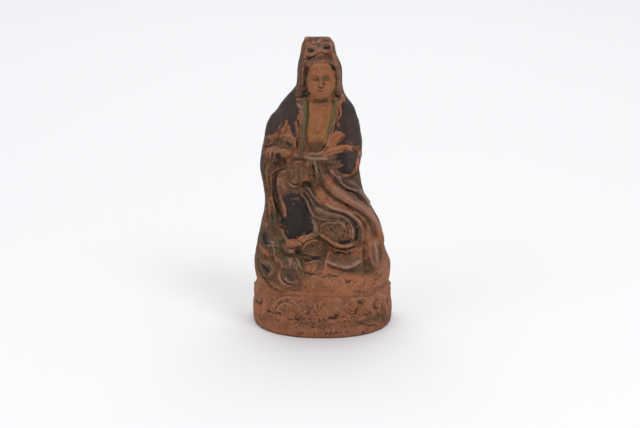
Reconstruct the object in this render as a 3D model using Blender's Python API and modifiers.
"""A seated deity on a lotus throne, pressed in one piece of terracotta from a front and a back mould.

Everything is in metres with +Z up. The front looks along -Y, and the origin is the middle of the
underside. The figure's body is drawn in millimetres: x to the right, z up from the underside and d the
depth to the front. Its limbs and folds are drawn on the face view, which looks at the middle of the
figure from in front and a little above: u runs to the right and v upwards. The drawing is scaled to the
driving sizes and stands on the plinth.
"""

import math

import bmesh
import bpy
import numpy as np

# Driving sizes
PLINTH_WIDTH = 0.1074
PLINTH_DEPTH = 0.0740
BAND_HEIGHT = 0.0160
TIER_HEIGHT = 0.0165
TIER_INSET = 0.0012
NECK_INSET = 0.0032
FOOT_BEVEL = 0.0012
FIGURE_WIDTH = 0.1055
FIGURE_DEPTH = 0.0725
FIGURE_HEIGHT = 0.1890
PLINTH_PETALS = 14
PETAL_RISE = 0.0011

# Fineness of the mesh, how far the pieces are smoothed into each other, and where it is shaded as an edge
GRAIN = 0.0011
SMOOTHING = 4
TRIANGLES = 9900

SHARP_ANGLE = math.radians(60)

# How much deeper and wider the strokes are cut than they are drawn, so that they hold on a coarse mesh
BOLD_RISE = 1.3
BOLD_SPREAD = 1.15

# A stroke reaches this many spreads out, runs out over its last millimetres down to a share of its
# height, and is full where the skin turns at least this much to the side that it is drawn from
STROKE_REACH = 2.6
STROKE_TAPER = 2.0
STROKE_END = 0.25
FACING = 0.35

# The size of the figure as it is drawn, in millimetres
DRAWN_WIDTH = 105.5
DRAWN_DEPTH = 72.5
DRAWN_FOOT = 32.5
DRAWN_CROWN = 221.5

PLINTH_HEIGHT = BAND_HEIGHT + TIER_HEIGHT
SCALE = np.array([
    FIGURE_WIDTH / DRAWN_WIDTH,
    FIGURE_DEPTH / DRAWN_DEPTH,
    FIGURE_HEIGHT / (DRAWN_CROWN - DRAWN_FOOT),
])


def placed(x, d, z):
    """A point of the drawing, at its real place."""
    return (x * SCALE[0], -d * SCALE[1], PLINTH_HEIGHT + (z - DRAWN_FOOT) * SCALE[2])


def drawn(points):
    """The drawing's x, d and z, in millimetres, of real places."""
    x = points[:, 0] / SCALE[0]
    d = -points[:, 1] / SCALE[1]
    z = DRAWN_FOOT + (points[:, 2] - PLINTH_HEIGHT) / SCALE[2]
    return x, d, z


# The face view: how far above and how far off the eye is, and the place that it looks at
VIEW_TILT = math.radians(17.0)
VIEW_DISTANCE = 1140.0
VIEW_MIDDLE = (-1.9, 86.5)
VIEW_RISE, VIEW_RUN = math.sin(VIEW_TILT), math.cos(VIEW_TILT)


def on_view(x, d, z):
    """Where a place of the drawing shows on the face view, as u and v."""
    up = z - VIEW_MIDDLE[1]
    away = VIEW_DISTANCE - d * VIEW_RUN - up * VIEW_RISE
    u = VIEW_MIDDLE[0] + (x - VIEW_MIDDLE[0]) * VIEW_DISTANCE / away
    v = VIEW_MIDDLE[1] + (up * VIEW_RUN - d * VIEW_RISE) * VIEW_DISTANCE / away
    return u, v


def from_view(u, v, d):
    """The place of the drawing, as x, d and z, that shows at u and v and lies at depth d."""
    slope = (v - VIEW_MIDDLE[1]) / VIEW_DISTANCE
    up = (slope * (VIEW_DISTANCE - d * VIEW_RUN) + d * VIEW_RISE) / (VIEW_RUN + slope * VIEW_RISE)
    away = VIEW_DISTANCE - d * VIEW_RUN - up * VIEW_RISE
    x = VIEW_MIDDLE[0] + (u - VIEW_MIDDLE[0]) * away / VIEW_DISTANCE
    return x, d, VIEW_MIDDLE[1] + up


# Sections of the whole casting: height, left edge, right edge, front and back, in drawn millimetres
BODY_SECTIONS = (
    (28.0, -49.0, 50.0, 33.0, 31.0),
    (33.0, -50.5, 51.5, 34.0, 33.0),
    (40.0, -52.0, 52.6, 36.0, 34.5),
    (46.0, -52.4, 52.2, 36.6, 34.5),
    (52.0, -52.0, 49.6, 35.8, 33.5),
    (58.0, -50.8, 47.6, 33.0, 32.0),
    (66.0, -48.6, 46.2, 29.5, 30.5),
    (78.0, -46.0, 43.0, 26.5, 28.0),
    (90.0, -43.5, 36.8, 23.0, 26.5),
    (101.0, -42.6, 31.0, 20.0, 25.5),
    (112.0, -44.4, 28.6, 17.5, 25.0),
    (124.0, -46.4, 27.2, 14.5, 24.5),
    (136.0, -45.0, 29.4, 12.0, 23.5),
    (148.0, -42.0, 28.2, 10.5, 22.0),
    (160.0, -37.0, 26.2, 9.0, 20.5),
    (170.0, -32.0, 22.6, 8.0, 18.5),
    (178.0, -25.5, 16.8, 7.5, 16.5),
    (184.0, -19.9, 14.4, 7.5, 15.5),
    (192.0, -18.8, 13.9, 7.5, 15.5),
    (200.0, -18.5, 13.4, 7.5, 15.0),
    (208.0, -16.6, 9.9, 7.0, 13.0),
    (214.0, -15.6, 8.3, 6.0, 10.5),
    (219.0, -13.6, 6.6, 4.5, 7.5),
    (221.5, -10.0, 4.0, 2.0, 3.5),
)
BODY_WIDEST_DEPTH = ((28.0, -13.0), (60.0, -10.0), (90.0, -4.0), (140.0, -2.0), (221.5, -2.0))
FRONT_BLUNTNESS = 2.25
BACK_BLUNTNESS = 2.9
RING_SIDES = 96
RING_STEP = 1.5


def through(knots, values, at):
    """A smooth curve through the values at the knots, read at other places."""
    knots, values, at = (np.asarray(a, float) for a in (knots, values, at))
    values = values.reshape(len(knots), -1)
    slopes = np.gradient(values, knots, axis=0)
    i = np.clip(np.searchsorted(knots, at) - 1, 0, len(knots) - 2)
    span = (knots[i + 1] - knots[i])[:, None]
    t = (at - knots[i])[:, None] / span
    return (
        values[i] * (1 + 2 * t) * (1 - t) ** 2
        + values[i + 1] * t * t * (3 - 2 * t)
        + slopes[i] * span * t * (1 - t) ** 2
        - slopes[i + 1] * span * t * t * (1 - t)
    )


def rounded(turn, bluntness):
    """Cosine and sine of a turn, pushed out towards the corners of a square."""
    power = 2.0 / bluntness
    c, s = np.cos(turn), np.sin(turn)
    return np.sign(c) * np.abs(c) ** power, np.sign(s) * np.abs(s) ** power


def section(left, right, front, back, widest):
    """One level of the casting as a closed ring: a blunt oval in front and a squarer one behind."""
    turn = np.arange(RING_SIDES) * 2 * math.pi / RING_SIDES
    cf, sf = rounded(turn, FRONT_BLUNTNESS)
    cb, sb = rounded(turn, BACK_BLUNTNESS)
    ahead = np.sin(turn) >= 0
    middle, half = (left + right) / 2, (right - left) / 2
    x = middle + half * np.where(ahead, cf, cb)
    d = widest + np.where(ahead, sf * (front - widest), sb * (back + widest))
    return x, d


def lofted(rings):
    """A closed body over a stack of rings, each an array of real places."""
    shape = bmesh.new()
    rows = [[shape.verts.new(p) for p in ring] for ring in rings]
    count = len(rows[0])
    for low, high in zip(rows, rows[1:]):
        for a in range(count):
            b = (a + 1) % count
            shape.faces.new((low[a], high[a], high[b], low[b]))
    shape.faces.new(rows[0])
    shape.faces.new(list(reversed(rows[-1])))
    bmesh.ops.recalc_face_normals(shape, faces=shape.faces)
    return shape


def as_object(name, shape):
    mesh = bpy.data.meshes.new(name)
    shape.to_mesh(mesh)
    shape.free()
    made = bpy.data.objects.new(name, mesh)
    bpy.context.scene.collection.objects.link(made)
    return made


def casting_body():
    """The whole upright mass from the neck of the throne to the crown, without limbs or folds."""
    knots = [s[0] for s in BODY_SECTIONS]
    levels = np.arange(knots[0], knots[-1] + RING_STEP / 2, RING_STEP)
    levels[-1] = knots[-1]
    sizes = through(knots, [s[1:] for s in BODY_SECTIONS], levels)
    widest = np.interp(levels, *zip(*BODY_WIDEST_DEPTH))
    rings = []
    for z, (left, right, front, back), mid in zip(levels, sizes, widest):
        x, d = section(left, right, front, back, mid)
        rings.append([placed(*p, z) for p in zip(x, d)])
    return as_object("casting_body", lofted(rings))


def plinth_body():
    """The plinth: a plain band, and a tier of petals that leans in to the neck of the throne."""
    sunk = 0.006
    foot = -sunk
    levels = (
        (foot, FOOT_BEVEL),
        (0.0, FOOT_BEVEL),
        (FOOT_BEVEL, 0.0),
        (BAND_HEIGHT * 0.93, 0.0),
        (BAND_HEIGHT, TIER_INSET),
        (BAND_HEIGHT + TIER_HEIGHT * 0.75, TIER_INSET * 1.6),
        (PLINTH_HEIGHT, NECK_INSET),
    )
    rings = []
    for z, inset in levels:
        half = PLINTH_WIDTH / 2 - inset
        deep = PLINTH_DEPTH / 2 - inset
        x, d = section(-half, half, deep, deep, -PLINTH_DEPTH * 0.16)
        rings.append([(a, -b, z) for a, b in zip(x, d)])
    return as_object("plinth_body", lofted(rings))


def lump(name, centre, radii, tilt=0.0):
    """A rounded mass, such as a head or a knee, at u, v and d. Tilt turns it on the face view."""
    bpy.ops.mesh.primitive_uv_sphere_add(segments=32, ring_count=20, radius=1)
    made = bpy.context.object
    made.name = name
    made.scale = (radii[0] * SCALE[0], radii[1] * SCALE[1], radii[2] * SCALE[2])
    made.rotation_euler = (0, math.radians(tilt), 0)
    made.location = placed(*from_view(*centre))
    return made


def limb(name, stations):
    """A tapering limb or roll of cloth along a smooth line: each station is u, v, d and its radius."""
    stations = np.array([(*from_view(*s[:3]), s[3]) for s in stations])
    steps = np.concatenate([[0], np.cumsum(np.linalg.norm(np.diff(stations[:, :3], axis=0), axis=1))])
    at = np.linspace(0, steps[-1], max(8, int(steps[-1] / 1.5)))
    line = through(steps, stations, at)
    curve = bpy.data.curves.new(name, "CURVE")
    curve.dimensions = "3D"
    curve.bevel_depth = 1.0
    curve.bevel_resolution = 4
    curve.use_fill_caps = True
    spline = curve.splines.new("POLY")
    spline.points.add(len(line) - 1)
    for point, (x, d, z, radius) in zip(spline.points, line):
        point.co = (*placed(x, d, z), 1)
        point.radius = radius * SCALE[0]
    made = bpy.data.objects.new(name, curve)
    bpy.context.scene.collection.objects.link(made)
    return made


# Rounded masses on the face view: name, (u, v, d), radii across, in depth and upwards, and tilt
LUMPS = (
    ("hair_knot", (-3.6, 210.5, 2.5), (9.4, 8.0, 8.2), 0),
    ("brow_band", (-1.8, 201.0, 4.0), (11.6, 10.5, 5.0), 0),
    ("head", (-1.2, 187.0, 4.5), (11.3, 12.0, 14.8), 0),
    ("neck", (-1.5, 171.0, 2.0), (8.5, 8.0, 9.0), 0),
    ("chest", (-3.5, 153.0, -0.5), (13.0, 12.0, 22.0), 0),
    ("raised_hand", (-26.0, 141.5, 11.6), (5.4, 4.4, 6.4), -15),
    ("raised_wrist", (-28.0, 134.0, 12.5), (5.6, 5.2, 5.0), 0),
    ("cuff_left", (-37.0, 131.5, 8.5), (6.6, 6.2, 6.0), -10),
    ("lowered_hand", (-17.0, 117.4, 16.2), (9.2, 5.8, 9.6), 0),
    ("cloth_middle", (-4.0, 117.0, 11.5), (9.0, 9.0, 10.0), 0),
    ("sleeve_right", (15.5, 126.0, 9.5), (12.4, 9.0, 9.0), -15),
    ("knee_raised", (-26.0, 109.0, 14.0), (8.6, 9.4, 10.5), 0),
    ("knee_folded", (11.0, 72.5, 23.5), (14.5, 10.5, 9.0), 0),
    ("hem_lobe", (16.5, 52.0, 25.5), (15.5, 11.0, 8.0), 0),
    ("hem_right", (37.0, 56.0, 13.5), (9.5, 12.5, 14.0), 0),
    ("rock_shell", (-7.5, 60.0, 26.0), (8.4, 9.0, 7.2), 0),
    ("rock_lobe", (-7.5, 46.2, 26.5), (9.0, 10.0, 6.0), 0),
    ("rock_top", (-13.0, 66.5, 25.0), (10.0, 9.0, 5.2), -10),
    ("rock_middle", (-23.5, 63.0, 24.0), (7.0, 8.5, 6.2), 0),
    ("rock_low", (-21.5, 49.5, 25.0), (9.0, 8.5, 8.0), 0),
    ("rock_side", (-38.5, 61.0, 12.5), (9.5, 10.5, 14.0), 0),
    ("curl_middle", (-25.5, 40.0, 26.0), (7.0, 7.5, 7.0), 0),
    ("curl_side", (-42.0, 46.5, 16.5), (7.0, 8.0, 9.0), 0),
)

# Limbs and rolls of cloth on the face view: name, then u, v, d and radius along each
LIMBS = (
    ("hood_left", (-21.5, 168, 2, 2.6), (-18.8, 175, 6, 2.5), (-17, 186, 8, 2.4), (-15.6, 198, 8, 2.4),
     (-13.4, 208, 7, 2.2), (-11, 216, 5, 2)),
    ("hood_right", (17, 167, 2, 2.6), (14.2, 174, 6, 2.5), (12.6, 184, 8, 2.3), (11.5, 196, 8, 2.3),
     (8.6, 207, 7, 2.1), (6.2, 215, 5, 2)),
    ("collar_left", (-14, 176, 5, 2.4), (-14, 162, 8.5, 2.6), (-15.4, 147, 10.5, 2.6),
     (-16, 133, 12, 2.6)),
    ("collar_right", (11, 175, 5, 2.4), (8.8, 162, 9, 2.4), (6, 149, 11, 2.4), (2.8, 138, 12, 2.2)),
    ("upper_arm_left", (-24, 167, -3, 6), (-34, 154, 2.5, 8), (-37.5, 143, 5.5, 7)),
    ("forearm_left", (-38, 140, 6, 6.5), (-33, 136, 9.5, 6.5), (-28, 136, 12, 5)),
    ("upper_arm_right", (15, 166, -3, 6), (20.5, 151, 2, 7.6), (21.5, 137, 5, 8)),
    ("forearm_right", (20, 132, 6.5, 7.5), (9, 131, 10, 7), (-2, 129.4, 13.5, 5.5),
     (-13, 126.4, 17, 5)),
    ("sleeve_left", (-39, 133, 6, 6.5), (-40.5, 122, 7, 6.5), (-39.5, 110, 9, 5.5), (-38.5, 98, 11, 5),
     (-38.5, 86, 12, 5), (-40, 74, 13, 5.5), (-41, 60, 13, 5)),
    ("sleeve_fall", (7, 121, 12, 6), (13, 113, 12.5, 6.5), (21, 106, 11, 6), (28, 99.5, 7, 5),
     (33, 93, 3.5, 4.5)),
    ("shin", (-23, 106, 13.5, 9), (-21.5, 94, 14.5, 10.5), (-19.6, 82, 15.5, 11),
     (-19, 70, 16.5, 10.8)),
    ("fingers_1", (-22.8, 120.5, 20.6, 1.5), (-22.8, 115, 22, 1.5), (-22.4, 110.5, 22, 1.3)),
    ("fingers_2", (-19.4, 121, 21, 1.6), (-19.4, 115, 22.4, 1.5), (-19, 109.8, 22.4, 1.3)),
    ("fingers_3", (-16, 121, 21, 1.6), (-15.8, 115, 22.2, 1.5), (-15.4, 110, 22, 1.3)),
    ("fingers_4", (-12.8, 120, 20.4, 1.5), (-12.4, 115, 21.2, 1.4), (-12.2, 111, 20.8, 1.2)),
    ("lap", (-8, 109, 10, 8), (4, 100, 12.5, 10), (16, 89.5, 14.5, 11), (24.5, 79, 13.5, 11.5)),
    ("swung_cloth", (1, 116, 19, 3.2), (6, 108, 21.5, 3.5), (13, 102.3, 22.5, 3.8), (21, 97.2, 21.5, 4),
     (29, 91.6, 18.5, 4), (36, 84.6, 14.5, 3.8), (40.2, 77, 11.5, 3.6), (42.2, 68, 11.5, 3.4),
     (42.4, 59, 13.5, 3.4)),
    ("hem_roll", (-2, 71, 29.5, 1.6), (3, 68, 31.5, 2), (9.5, 63.8, 32.6, 2.2), (16.5, 61.8, 33, 2.2),
     (23, 64, 31, 1.8)),
    ("curl_right", (-31, 43, 27, 1.6), (-31, 38.5, 29.5, 1.9), (-28, 34.8, 31.2, 2), (-24, 33.6, 32, 2),
     (-20.8, 35.6, 32, 1.8), (-21, 39.5, 31.5, 1.4)),
    ("curl_left", (-45, 50.5, 19.5, 1.6), (-41, 49, 22, 1.9), (-38.2, 45.5, 24, 2),
     (-38.4, 41.5, 25.5, 1.8),
     (-41.5, 39.6, 24.5, 1.4)),
)


def fused(name, pieces, grain):
    """One closed skin over all the pieces, as damp clay pressed into one mould."""
    graph = bpy.context.evaluated_depsgraph_get()
    shape = bmesh.new()
    for piece in pieces:
        mesh = bpy.data.meshes.new_from_object(piece.evaluated_get(graph))
        mesh.transform(piece.matrix_world)
        part = bmesh.new()
        part.from_mesh(mesh)
        bmesh.ops.remove_doubles(part, verts=part.verts, dist=0.00001)
        bmesh.ops.recalc_face_normals(part, faces=part.faces)
        part.to_mesh(mesh)
        part.free()
        shape.from_mesh(mesh)
        bpy.data.meshes.remove(mesh)
    for piece in pieces:
        bpy.data.objects.remove(piece)
    made = as_object(name, shape)
    remesh = made.modifiers.new("skin", "REMESH")
    remesh.mode = "VOXEL"
    remesh.voxel_size = grain
    bake(made)
    return made


def bake(made):
    """Applies the modifiers of an object."""
    graph = bpy.context.evaluated_depsgraph_get()
    mesh = bpy.data.meshes.new_from_object(made.evaluated_get(graph))
    old = made.data
    made.modifiers.clear()
    made.data = mesh
    bpy.data.meshes.remove(old)


def read(items, name, width, kind=float):
    values = np.empty(len(items) * width, kind)
    items.foreach_get(name, values)
    return values.reshape(-1, width)


def relaxed(values, edges, rounds, pull=0.5):
    """Values at the vertices, moved towards the mean of their neighbours round after round."""
    count = len(values)
    a, b = edges.T
    degree = np.bincount(edges.ravel(), minlength=count)[:, None]
    for _ in range(rounds):
        total = np.stack([
            np.bincount(a, values[b, k], count) + np.bincount(b, values[a, k], count)
            for k in range(values.shape[1])
        ], 1)
        values = values + pull * (total / degree - values)
    return values


# Folds and edges on the face view: name, height, spread left and right of the line, then its points (u, v).
# Left and right are those of someone who walks along the line. A height below nothing is a groove.
STROKES = (
    ("bow hole left", -1.8, 1.2, 1.2, (-9.6, 209.4), (-7.4, 210.6)),
    ("bow hole right", -1.8, 1.3, 1.3, (1.4, 212.2), (4.2, 213)),
    ("bow loop left", 0.7, 0.7, 0.7, (-5, 209), (-6.6, 212.6), (-10.4, 212.4), (-12, 209.6),
     (-9.8, 207), (-6, 208)),
    ("bow loop right", 0.7, 0.7, 0.7, (-1, 210), (0.6, 214.6), (4.2, 215.6), (6.8, 212.6), (5, 209.8),
     (1.4, 209.6)),
    ("bow crease", -0.8, 0.7, 0.7, (-9, 213.6), (-4, 215.4), (1, 216.8), (5.4, 216.6)),
    ("band line", -0.8, 0.6, 0.6, (-11, 203.8), (-6, 206), (-0.6, 208.2), (4.4, 206.6)),
    ("hairline", -0.7, 0.7, 0.7, (-12.4, 190), (-11.6, 196.5), (-7, 200), (-1, 200.6), (5, 199.8),
     (9, 196), (9.8, 190)),
    ("nose", 1.5, 1.1, 1.1, (-1.2, 191), (-1.2, 187), (-1.2, 183.6)),
    ("nose tip", 0.9, 1.5, 1.5, (-1.9, 183.4), (-0.5, 183.4)),
    ("eye left", -0.9, 1.1, 1.1, (-7.8, 187.8), (-5.6, 188.6), (-3.4, 188)),
    ("eye right", -0.9, 1.1, 1.1, (1, 188), (3.2, 188.6), (5.4, 187.8)),
    ("mouth", -0.7, 0.5, 0.5, (-4, 179), (-1.2, 178.6), (1.6, 179)),
    ("lips", 0.6, 0.7, 0.7, (-3.2, 180), (-1.2, 180.2), (0.8, 180)),
    ("chin", 0.7, 1.8, 1.8, (-2, 175.4), (-0.4, 175.4)),
    ("hood rim left", 0.9, 1.2, 0.6, (-11.5, 219), (-12.4, 210), (-13.4, 203), (-14.6, 195),
     (-15, 187), (-14.6, 179)),
    ("hood rim right", 0.9, 0.6, 1.2, (5.5, 218), (7, 211), (8.5, 204), (10.3, 197), (11.5, 190),
     (11, 181)),
    ("collar left", 0.8, 0.9, 0.9, (-13, 175), (-12.8, 166), (-13.3, 158), (-14.3, 150), (-15, 142),
     (-15, 134)),
    ("collar right", 0.8, 0.9, 0.9, (10, 174), (8.9, 165), (8, 160), (6.4, 154), (5.2, 148),
     (4.6, 141)),
    ("robe edge left", 0.7, 0.8, 0.8, (-18, 160), (-20.4, 152), (-20.6, 144), (-21.5, 136)),
    ("chest fold", 0.8, 0.6, 0.9, (4.6, 141), (2, 136), (-1.5, 133), (-6, 131.8), (-12, 133)),
    ("sash", 0.8, 0.9, 0.9, (-22, 131), (-15, 130.5), (-10, 128.8), (-4, 128), (3, 128.6)),
    ("stem 1", 0.9, 0.7, 0.7, (-26.5, 157), (-28.2, 152), (-30, 148), (-31.5, 144), (-33, 139)),
    ("stem 2", 0.6, 0.7, 0.7, (-30.3, 156), (-33, 152), (-34.2, 149)),
    ("forearm edge", -0.9, 0.7, 0.7, (-43, 137.4), (-39, 138), (-34, 139.2)),
    ("cuff pleat 1", 0.7, 0.6, 0.6, (-33, 137), (-38, 136), (-40.5, 132), (-40.5, 127)),
    ("cuff pleat 2", 0.6, 0.6, 0.6, (-36, 134.5), (-37.2, 131), (-37.5, 127)),
    ("sleeve fold 1", 0.9, 0.8, 0.8, (-41, 124), (-42.2, 119), (-41.5, 112), (-40.2, 105)),
    ("sleeve fold 2", 0.9, 0.8, 0.8, (-32, 121.5), (-37, 119), (-39, 114), (-38.6, 108)),
    ("sleeve fold 3", 1.0, 0.8, 0.8, (-38.5, 99), (-37, 93), (-35.6, 88), (-35, 82), (-34.8, 75)),
    ("sleeve valley", -1.2, 0.8, 0.8, (-37, 104), (-36, 96), (-33.6, 90), (-31.5, 85.5), (-29.5, 81.5)),
    ("sleeve edge", 0.6, 0.8, 0.8, (-42, 100), (-41.8, 92), (-43, 85), (-45.5, 76), (-47, 68)),
    ("knee edge", 1.1, 0.9, 0.9, (-27, 119.3), (-31, 117.6), (-33, 113.5), (-33.2, 108), (-32, 103),
     (-31.3, 96), (-29.5, 90), (-28, 84)),
    ("hand top", 0.8, 0.7, 0.7, (-25.2, 120), (-22.5, 125.8), (-18.5, 126.6), (-13, 125.6),
     (-10.5, 121.5), (-8.6, 116)),
    ("hand gap", -0.7, 0.5, 0.5, (-22, 123.2), (-15, 123.2)),
    ("finger 1", -0.6, 0.5, 0.5, (-21.5, 121), (-21.7, 113)),
    ("finger 2", 0.7, 0.6, 0.6, (-18.8, 121), (-18.8, 113.5)),
    ("finger 3", -0.6, 0.5, 0.5, (-15.5, 121.5), (-15.3, 114)),
    ("hand cloth edge", 1.0, 0.6, 0.9, (-26, 110), (-21.5, 107.6), (-18, 107.4), (-15, 104.6)),
    ("hand hollow", -1.6, 1.3, 1.3, (-15.5, 108.5), (-12, 109.5), (-9, 106)),
    ("pleat 1", 0.8, 0.7, 0.7, (-9.5, 124), (-8, 119.5), (-7.5, 116)),
    ("pleat 2", 0.9, 0.7, 0.7, (-6, 126.5), (-5, 121.5), (-3.6, 117)),
    ("pleat 3", 0.7, 0.7, 0.7, (-2, 126), (-1.5, 120), (0.5, 115)),
    ("pleat hole", -1.6, 1.0, 1.0, (-6.6, 117.5), (-6.2, 113)),
    ("forearm top", 0.9, 0.9, 1.2, (5, 134.6), (11, 137), (17.5, 138.2), (21, 136.6), (24, 134)),
    ("cuff", 1.2, 0.9, 0.9, (27, 127), (25.8, 122), (23, 118.2), (19.5, 116), (16, 115.8)),
    ("sleeve line", 0.5, 0.6, 0.6, (4.3, 122.5), (6.4, 119), (9, 116.2), (12, 113.6)),
    ("fall fold 1", 0.8, 0.8, 0.8, (12.8, 115), (14, 110.5), (18, 106.8), (24, 104.6), (28.5, 104)),
    ("fall fold 2", -0.9, 0.8, 0.8, (19, 104.4), (25, 101.6), (30, 98.6), (33.5, 94.5)),
    ("fall fold 3", 0.8, 0.8, 0.8, (29, 103), (32.5, 97.5), (36, 91.5), (39.4, 86)),
    ("fall hole", -1.4, 1.1, 1.1, (23.3, 98.4), (26.8, 96)),
    ("swung valley", -1.3, 1.3, 1.0, (3, 104), (9, 98.6), (16, 94.6), (22, 90.8), (28, 88),
     (33.5, 83.6), (38, 78.8), (40.5, 72)),
    ("lap roll", 1.1, 1.1, 0.9, (2, 94.5), (8, 91), (15, 89.2), (21.5, 86.2), (26.5, 82.2),
     (29.6, 77), (30.3, 71), (29.8, 65)),
    ("lap roll outer", 0.9, 0.9, 0.9, (18, 88.6), (26, 86.8), (31.6, 81.6), (34.6, 75.6), (35.2, 69),
     (34.8, 62)),
    ("lap valley", -1.1, 0.9, 0.9, (4, 90.2), (10, 88.8), (17, 87), (22, 83.6), (25.6, 78.4),
     (26.4, 71.5), (25.6, 66)),
    ("lap line 1", 0.8, 0.7, 0.7, (-14, 104.6), (-10, 100), (-7.8, 95.6), (-4.8, 91.4), (1, 88.4),
     (7, 86.8), (13.5, 85.2), (18.4, 82.2), (21.8, 78), (22.5, 72), (22.2, 66)),
    ("lap line 2", 0.8, 0.7, 0.7, (-16, 101.4), (-12, 96.8), (-10, 91), (-7, 86), (-2.5, 83.3),
     (4, 81.7), (11, 81.8), (16, 79.8), (17.2, 76.6)),
    ("lap line 3", 0.8, 0.7, 0.7, (-14.2, 91.8), (-11.8, 87.6), (-9.8, 82.4), (-8, 77)),
    ("lap line 4", 0.6, 0.7, 0.7, (-11, 107), (-8.6, 102.4), (-5, 98), (-1, 94.4)),
    ("knee scroll", 0.8, 0.7, 0.7, (-0.8, 75), (0.6, 78.8), (6, 79.5), (12, 78.4), (14, 75.4),
     (9, 73.8)),
    ("scroll floor", -1.3, 0.8, 0.6, (-4.4, 71), (-0.5, 67.4), (4.6, 64), (8.4, 61.2), (13, 60),
     (20, 60), (25, 62)),
    ("scroll mouth", -1.2, 0.8, 0.8, (14, 65.6), (19, 65.8), (23.4, 67.6)),
    ("hem hollow", -1.8, 0.9, 1.2, (9.5, 58.4), (15, 57.6), (22.5, 57.8)),
    ("hem arc", 1.2, 0.8, 1.2, (2.6, 51), (7.6, 49), (13, 47), (18.5, 46.4), (23.5, 47.8), (28, 51)),
    ("hem edge", 1.0, 0.8, 0.8, (5.2, 58), (3, 52), (3.2, 46.6), (6.6, 42.8), (11, 41.4)),
    ("hem fold 1", -0.9, 0.7, 0.7, (31, 60), (31.2, 53), (32.2, 46)),
    ("hem fold 2", 0.9, 0.9, 0.9, (34.4, 59), (36.6, 53), (38.4, 46.6)),
    ("hem fold 3", -0.8, 0.8, 0.8, (37.4, 63), (38.8, 56), (40, 49)),
    ("hem fold 4", 0.9, 0.8, 0.8, (39.2, 66), (40.6, 58), (41.2, 50)),
    ("hem fold 5", -0.7, 0.8, 0.8, (42.6, 63), (43.6, 56), (43.4, 48)),
    ("shell rim", 0.9, 0.7, 0.7, (-15, 59.6), (-12.6, 63.4), (-8.6, 65.8), (-4, 66.4), (-0.8, 64),
     (0.4, 60.6)),
    ("shell foot", -1.2, 0.8, 0.8, (-15, 55.6), (-10.5, 54.8), (-7.5, 53.2), (-2, 53.6)),
    ("shell top", -1.0, 0.7, 0.7, (-15.6, 61.5), (-12.6, 65.4), (-8, 67.6), (-2.6, 68.2)),
    ("rock hole", -2.2, 1.5, 1.5, (-19.4, 58.2), (-17.8, 57.2)),
    ("rock line 1", -0.9, 0.8, 0.8, (-27.5, 61), (-22, 60.4), (-17, 61.4)),
    ("panel foot", -1.4, 1.0, 0.7, (-29, 73.4), (-26.8, 69), (-23, 67.6), (-18.6, 68.8), (-13, 70.6),
     (-8, 72.8)),
    ("leaf edge", 0.8, 0.6, 0.6, (-30.6, 74.6), (-29, 70.4), (-27, 66)),
    ("star across", 0.9, 0.6, 0.6, (-41, 62.6), (-36.6, 62.2), (-32.6, 61.6)),
    ("star upright", 0.9, 0.6, 0.6, (-37.2, 65), (-36.6, 60), (-36.4, 55.6)),
    ("petal line 1", -0.6, 0.8, 0.8, (23, 26), (28, 29), (31, 33), (33, 38.4)),
    ("petal line 2", -0.6, 0.7, 0.7, (37, 31), (40.4, 36.4), (45, 41)),
    ("petal line 3", 0.6, 0.8, 0.8, (-16.4, 41.4), (-14, 36), (-11.6, 30)),
    ("mould seam", -1.3, 0.8, 0.8, (-48.6, 53), (-48.2, 45.6), (-46, 40.2), (-42.6, 36), (-39.6, 32),
     (-35, 29.2), (-29.6, 26.6)),
)


# The cape on the back, in x and z: folds fan out from the neck, under the hood's lower edge
CAPE_FOLDS = 6
CAPE_TOP, CAPE_FOOT = 165.0, 60.0
CAPE_NARROW, CAPE_WIDE = 5.4, 12.5
CAPE_MIDDLE = -3.0


def cape_strokes():
    """The strokes of the plain back, in x and z."""
    strokes = [
        ("hood hem", 0.9, 1.6, 0.7, (-30, 168), (-14, 161), (-3, 159), (10, 162), (24, 167)),
        ("cape hem", 1.3, 2.4, 0.8, (-46, 60), (-24, 54), (0, 52), (24, 54), (44, 60)),
    ]
    middle = (CAPE_FOLDS - 1) / 2
    for k in range(CAPE_FOLDS):
        out = k - middle
        top = (CAPE_MIDDLE + out * CAPE_NARROW, CAPE_TOP - abs(out) * 5)
        waist = (CAPE_MIDDLE + out * (CAPE_NARROW + CAPE_WIDE) / 2 + 1.5, (CAPE_TOP + CAPE_FOOT) / 2)
        foot = (CAPE_MIDDLE + out * CAPE_WIDE + 2, CAPE_FOOT)
        strokes.append(("cape fold", 1.1, 2.2, 2.2, top, waist, foot))
    return strokes


# The sides, in d and z: how the sleeves and the cape hang behind the mould's seam
SIDE_STROKES = (
    ("side fold 1", 1.0, 1.8, 1.8, (-4, 160), (-9, 130), (-10, 96), (-14, 62)),
    ("side fold 2", 0.9, 1.6, 1.6, (2, 140), (-1, 116), (-1, 90), (-5, 62)),
    ("side seam", -0.7, 0.9, 0.9, (-3, 176), (-5, 140), (-5.5, 100), (-9, 60), (-12, 36)),
)


def smooth_line(points, step=0.4):
    """Points at small steps along a smooth line through the given ones."""
    points = np.array(points, float)
    run = np.concatenate([[0], np.cumsum(np.linalg.norm(np.diff(points, axis=0), axis=1))])
    return through(run, points, np.linspace(0, run[-1], max(2, int(run[-1] / step) + 1)))


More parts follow.
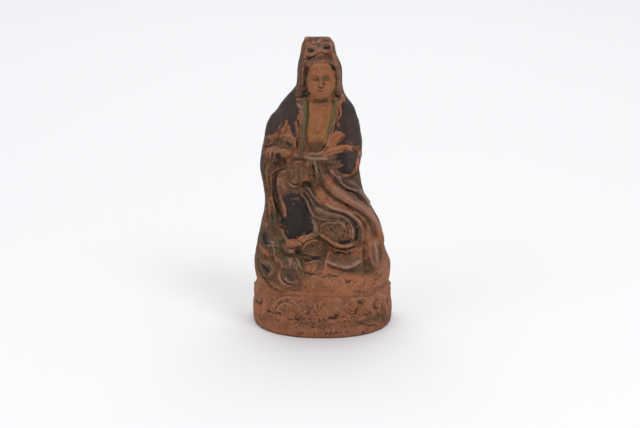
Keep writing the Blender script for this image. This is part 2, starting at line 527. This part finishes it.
def beside(line, u, v):
    """For each place, its distance from the line, the side that it is on, and the way run along the line."""
    start, way = line[:-1], np.diff(line, axis=0)
    length = np.linalg.norm(way, axis=1)
    run = np.concatenate([[0], np.cumsum(length)])
    best = np.full(len(u), np.inf)
    side = np.zeros(len(u))
    along = np.zeros(len(u))
    for (su, sv), (wu, wv), size, begun in zip(start, way, length, run):
        t = np.clip(((u - su) * wu + (v - sv) * wv) / size ** 2, 0, 1)
        du, dv = u - su - t * wu, v - sv - t * wv
        gap = du * du + dv * dv
        near = gap < best
        best[near] = gap[near]
        side[near] = (wu * dv - wv * du)[near]
        along[near] = (begun + t * size)[near]
    return np.sqrt(best), side, along, run[-1]


def relief(u, v, strokes):
    """The height in millimetres that the strokes raise or cut at each place of the face view."""
    height = np.zeros(len(u))
    for _, rise, left, right, *points in strokes:
        rise = rise * BOLD_RISE
        left = left * BOLD_SPREAD
        right = right * BOLD_SPREAD
        line = smooth_line(points)
        margin = STROKE_REACH * max(left, right)
        low = line.min(0) - margin
        high = line.max(0) + margin
        near = np.flatnonzero((u > low[0]) & (u < high[0]) & (v > low[1]) & (v < high[1]))
        if len(near) == 0:
            continue
        gap, side, along, length = beside(line, u[near], v[near])
        spread = np.where(side > 0, left, right)
        ends = np.clip(np.minimum(along, length - along) / STROKE_TAPER + STROKE_END, 0, 1)
        height[near] += rise * np.exp(-(gap / spread) ** 2) * ends
    return height


def raised(made, strokes, place, towards):
    """Raises and cuts strokes along the skin's normals, on the side that looks the given way."""
    mesh = made.data
    points = read(mesh.vertices, "co", 3)
    edges = read(mesh.edges, "vertices", 2, np.int64)
    normals = relaxed(read(mesh.vertices, "normal", 3), edges, 4)
    across, upwards = place(*drawn(points))
    shown = np.clip(normals @ np.array(towards) / FACING, 0, 1)
    height = relief(across, upwards, strokes) * shown
    points += normals * (height * SCALE[1])[:, None]
    mesh.vertices.foreach_set("co", points.ravel())
    mesh.update()


def petals(made):
    """Raises a ring of petals, their tips up, round the plinth's upper tier."""
    mesh = made.data
    points = read(mesh.vertices, "co", 3)
    normals = read(mesh.vertices, "normal", 3)
    turn = np.arctan2(points[:, 1] / PLINTH_DEPTH, points[:, 0] / PLINTH_WIDTH)
    across = np.abs((turn / (2 * math.pi) * PLINTH_PETALS) % 1 - 0.5) * 2
    upwards = (points[:, 2] - BAND_HEIGHT) / TIER_HEIGHT
    tip = 0.16 + 0.72 * (1 - across ** 2.2)
    inside = np.clip((tip - upwards) / 0.16, -1, 1)
    rim = np.exp(-((tip - upwards - 0.12) / 0.14) ** 2)
    tier = np.clip(upwards / 0.1, 0, 1) * np.clip((1 - upwards) / 0.1, 0, 1)
    height = PETAL_RISE * (0.45 * inside + 0.55 * rim) * tier
    points += normals * height[:, None]
    mesh.vertices.foreach_set("co", points.ravel())
    mesh.update()


def stood(made):
    """Cuts the foot off flat, and puts the middle of the underside at the origin."""
    shape = bmesh.new()
    shape.from_mesh(made.data)
    everything = [*shape.verts, *shape.edges, *shape.faces]
    bmesh.ops.bisect_plane(shape, geom=everything, plane_co=(0, 0, 0), plane_no=(0, 0, -1), clear_outer=True)
    rim = [edge for edge in shape.edges if edge.is_boundary]
    bmesh.ops.holes_fill(shape, edges=rim, sides=0)
    bmesh.ops.triangulate(shape, faces=shape.faces)
    shape.to_mesh(made.data)
    shape.free()
    points = read(made.data.vertices, "co", 3)
    middle = (points.min(0) + points.max(0)) / 2
    points[:, :2] -= middle[:2]
    made.data.vertices.foreach_set("co", points.ravel())
    made.data.update()


def moulded():
    """The whole casting as one fine skin, with all its folds."""
    masses = [lump(*row) for row in LUMPS] + [limb(name, stations) for name, *stations in LIMBS]
    bpy.context.view_layer.update()
    made = fused("guanyin_statue", [casting_body(), plinth_body(), *masses], GRAIN)
    mesh = made.data
    points = relaxed(read(mesh.vertices, "co", 3), read(mesh.edges, "vertices", 2, np.int64), SMOOTHING)
    mesh.vertices.foreach_set("co", points.ravel())
    mesh.update()
    raised(made, STROKES, on_view, (0, -VIEW_RUN, VIEW_RISE))
    raised(made, cape_strokes(), lambda x, d, z: (x, z), (0, 1, 0))
    raised(made, SIDE_STROKES, lambda x, d, z: (d, z), (-1, 0, 0))
    raised(made, SIDE_STROKES, lambda x, d, z: (d, z), (1, 0, 0))
    petals(made)
    return made


def terracotta():
    """Low-fired red clay, dull and slightly sandy."""
    material = bpy.data.materials.new("terracotta")
    material.use_nodes = True
    shader = material.node_tree.nodes["Principled BSDF"]
    shader.inputs["Base Color"].default_value = (0.33, 0.145, 0.065, 1)
    shader.inputs["Roughness"].default_value = 0.75
    shader.inputs["Metallic"].default_value = 0.0
    return material


def statue():
    """The finished part: the skin with fewer faces, cut flat, shaded smooth and given its clay."""
    made = moulded()
    fewer = made.modifiers.new("fewer", "DECIMATE")
    fewer.ratio = TRIANGLES / (2 * len(made.data.polygons))
    bake(made)
    stood(made)
    made.data.shade_smooth()
    made.data.set_sharp_from_angle(angle=SHARP_ANGLE)
    made.data.materials.append(terracotta())
    return made


def clear_scene():
    for old in list(bpy.data.objects):
        bpy.data.objects.remove(old)


def main():
    clear_scene()
    statue()


main()
